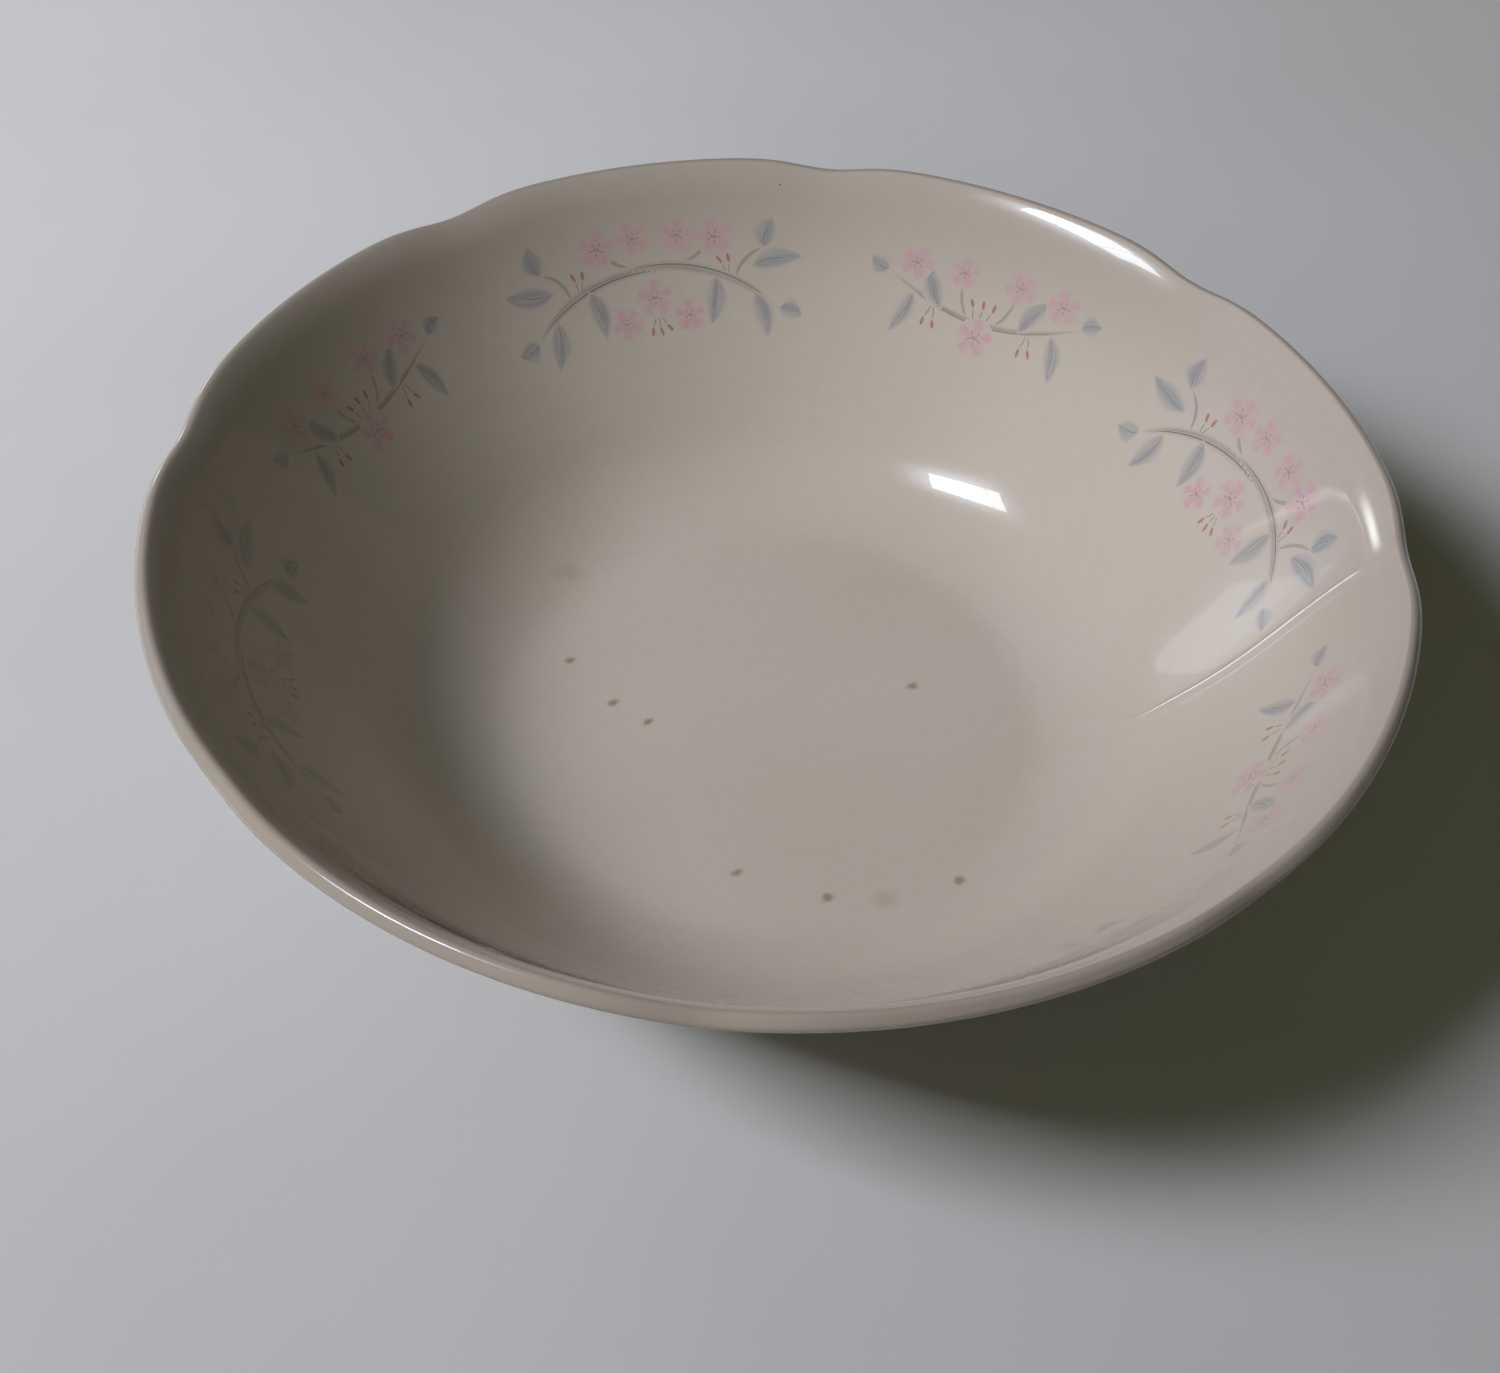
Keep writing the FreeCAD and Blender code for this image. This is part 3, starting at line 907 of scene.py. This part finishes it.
# %% Table
SURFACE_SIZE = 6.0
TABLE_GREY, TABLE_PALE = from_srgb(161, 161, 154), from_srgb(204, 204, 196)
DRIFT = (-0.27, 0.96, 0)                    # the way in which the table grows paler
DRIFT_START, DRIFT_END = -0.3, 0.45         # and how far from the bowl along it
TABLE_CLOUDS, TABLE_GRAIN = 7, 900          # turns of the noise in a metre
TABLE_DEPTH = 0.02 * MM
CLOUDED = (0.96, 0.955, 0.95, 1)
BACKGROUND = from_srgb(130, 130, 131)
TABLE_GLOW = (0.005, 0.00475, 0.0035, 1)      # painted light: the table's faint glow, which keeps deep shadow from going black
FADE_START, FADE_END = 0.9, 2.4             # the table melts into the background between these distances
BLACK = (0, 0, 0, 1)


def make_table_finish():
    material = bpy.data.materials.new("table_finish")
    material.use_nodes = True
    tree = material.node_tree
    shader = tree.nodes["Principled BSDF"]
    place = place_on_object(tree)
    slow = ease(tree, noise(tree, place, TABLE_CLOUDS, 3), 0.3, 0.7)
    grain = noise(tree, place, TABLE_GRAIN, 2)
    turned = tree.nodes.new("ShaderNodeVectorMath")
    turned.operation = "DOT_PRODUCT"
    feed(tree, turned.inputs[0], place)
    turned.inputs[1].default_value = DRIFT
    far_left = ease(tree, turned.outputs["Value"], DRIFT_START, DRIFT_END)
    drifted = blend(tree, far_left, TABLE_GREY, TABLE_PALE)
    top = blend(tree, slow, drifted, tint(tree, drifted, CLOUDED))
    span = tree.nodes.new("ShaderNodeVectorMath")
    span.operation = "LENGTH"
    feed(tree, span.inputs[0], place)
    away = ease(tree, span.outputs["Value"], FADE_START, FADE_END)
    feed(tree, shader.inputs["Base Color"], blend(tree, away, top, BLACK))
    # painted light: for camera rays the table glows faintly near the bowl, lifting its shadow, and as the
    # background far off
    feed(tree, shader.inputs["Emission Color"], blend(tree, away, TABLE_GLOW, BACKGROUND))
    rays = tree.nodes.new("ShaderNodeLightPath")
    feed(tree, shader.inputs["Emission Strength"], rays.outputs["Is Camera Ray"])
    shader.inputs["Roughness"].default_value = 0.55
    shader.inputs["Specular IOR Level"].default_value = 0.2
    wavy_skin(tree, shader, grain, TABLE_DEPTH)
    return material


surface = bmesh.new()
bmesh.ops.create_grid(surface, x_segments=1, y_segments=1, size=SURFACE_SIZE / 2)
surface_mesh = bpy.data.meshes.new("table_top")
surface.to_mesh(surface_mesh)
surface.free()
table_top = bpy.data.objects.new("table_top", surface_mesh)
bpy.context.scene.collection.objects.link(table_top)
surface_mesh.materials.append(make_table_finish())
print("table top", SURFACE_SIZE, "m wide")

# %% [markdown]
# ## Light
# The bowl stands in a dim room. Daylight falls in over the left shoulder and does most of the work. A weak
# ceiling lamp and a warm lamp on the near side stand for the light that the room throws back. A lamp that
# is bright enough to light the room would mirror as a white blot, so the work is shared: these three light
# and aren't mirrored, and dimmer panes are mirrored and light nothing. The panes of the window make sharp
# images in the glaze. A faint wide pane of sky lies about them and a second window far off in the room,
# both brightest in the middle, so that their images have soft edges.

# %% Lamps
AIM = Vector((0, 0, 0.05))          # the middle of the bowl, which every lamp faces
PANE_COLOUR = (0.96, 0.98, 1.0)


def lamp(name, direction, elevation, distance, width, height, power, roll, colour, mirrored=False):
    """A rectangular lamp, placed by its bearing from the aim; it either lights, or is only mirrored."""
    light = bpy.data.lights.new(name, "AREA")
    light.shape = "RECTANGLE"
    light.size = width
    light.size_y = height
    light.energy = power
    light.color = colour
    holder = bpy.data.objects.new(name, light)
    turn, rise = math.radians(direction), math.radians(elevation)
    level = math.cos(rise)
    offset = distance * Vector((level * math.cos(turn), level * math.sin(turn), math.sin(rise)))
    facing = (-offset).to_track_quat("-Z", "Y") @ Quaternion((0, 0, 1), math.radians(roll))
    holder.location = AIM + offset
    holder.rotation_euler = facing.to_euler()
    holder.visible_camera = False
    holder.visible_glossy = mirrored
    holder.visible_diffuse = not mirrored
    bpy.context.scene.collection.objects.link(holder)
    return holder


def pane(name, direction, elevation, distance, width, height, glow, roll=0, shift=0, colour=PANE_COLOUR):
    """A mirrored lamp of a given brightness, moved sideways along its own width."""
    power = glow * math.pi * width * height
    holder = lamp(name, direction, elevation, distance, width, height, power, roll, colour, mirrored=True)
    holder.location += holder.rotation_euler.to_matrix() @ Vector((shift, 0, 0))
    return holder


def fade_out(holder, strength):
    """Makes a lamp brightest in its middle and dark at its edges."""
    holder.data.use_nodes = True
    tree = holder.data.node_tree
    split = tree.nodes.new("ShaderNodeSeparateXYZ")
    feed(tree, split.inputs[0], tree.nodes.new("ShaderNodeNewGeometry").outputs["Parametric"])

    def hump(share):
        off = maths(tree, "ABSOLUTE", minus(tree, share, 0.5))
        return ease(tree, off, 0.5, 0.05)

    both = times(tree, hump(split.outputs["X"]), hump(split.outputs["Y"]))
    feed(tree, tree.nodes["Emission"].inputs["Strength"], times(tree, both, strength))


# %% The lamps that light
WINDOW_ROLL = 46                    # the window stands this far out of level, seen from the bowl

lamp("daylight", direction=-157, elevation=44.5, distance=1.38, width=0.5, height=0.3, power=24.5,
     roll=WINDOW_ROLL, colour=(0.94, 0.955, 1.165))
lamp("ceiling", direction=0, elevation=90, distance=1.2, width=1.0, height=1.0, power=0.2,
     roll=0, colour=(1.0, 0.98, 0.7))
lamp("room", direction=-110, elevation=26, distance=1.4, width=0.9, height=0.6, power=2.4,
     roll=0, colour=(1.0, 0.98, 0.86))

# %% The windows that are mirrored
WINDOW_WIDTH, WINDOW_HEIGHT = 0.44, 0.2
BAR = 0.008
panes = ((0.22, 9), (0.43, 14), (0.35, 14))      # share of the width, and brightness
edge = -WINDOW_WIDTH / 2
for number, (share, glow) in enumerate(panes, start=1):
    width = share * WINDOW_WIDTH
    pane(f"window_pane_{number}", direction=-152.9, elevation=47.2, distance=1.38, width=width - BAR,
         height=WINDOW_HEIGHT, glow=glow, roll=WINDOW_ROLL, shift=edge + width / 2)
    edge += width
far_window = pane("far_window", direction=137, elevation=8.5, distance=1.6, width=0.32, height=0.28, glow=1)
fade_out(far_window, strength=9.0)
sky_glow = pane("sky_glow", direction=-150, elevation=48, distance=1.38, width=0.8, height=0.5, glow=1,
                roll=WINDOW_ROLL, colour=(0.86, 0.95, 1.25))
fade_out(sky_glow, strength=7.0)
print("lamps", sorted(light.name for light in bpy.data.lights))

# %% [markdown]
# ## The room and the camera
# The room's own light is dim and warm, and it fills the shadows. What the camera and the gloss see of the
# room is a pale grey instead. One world does both, because it can tell which kind of ray asks.

# %% Sky
ROOM_LIGHT = from_srgb(54, 55, 30)
sky = bpy.data.worlds.new("sky")
bpy.context.scene.world = sky
sky.use_nodes = True
tree = sky.node_tree
rays = tree.nodes.new("ShaderNodeLightPath")
seen = maths(tree, "MAXIMUM", rays.outputs["Is Camera Ray"],
             maths(tree, "MAXIMUM", rays.outputs["Is Glossy Ray"], rays.outputs["Is Transmission Ray"]))
feed(tree, tree.nodes["Background"].inputs["Color"], blend(tree, seen, ROOM_LIGHT, BACKGROUND))

# %% Camera
LOOK_AT = Vector((-0.0003, -0.0514, 0.0726))
CAMERA_ROLL = math.radians(2.31)
camera_data = bpy.data.cameras.new("camera")
camera_data.sensor_width = 36
camera_data.lens = 41.9
camera = bpy.data.objects.new("camera", camera_data)
camera.location = (0.0161, -0.2559, 0.2923)
facing = (LOOK_AT - camera.location).to_track_quat("-Z", "Y")
camera.rotation_euler = (facing @ Quaternion((0, 0, 1), CAMERA_ROLL)).to_euler()
bpy.context.scene.collection.objects.link(camera)
bpy.context.scene.camera = camera
bpy.context.scene.view_settings.view_transform = "Standard"
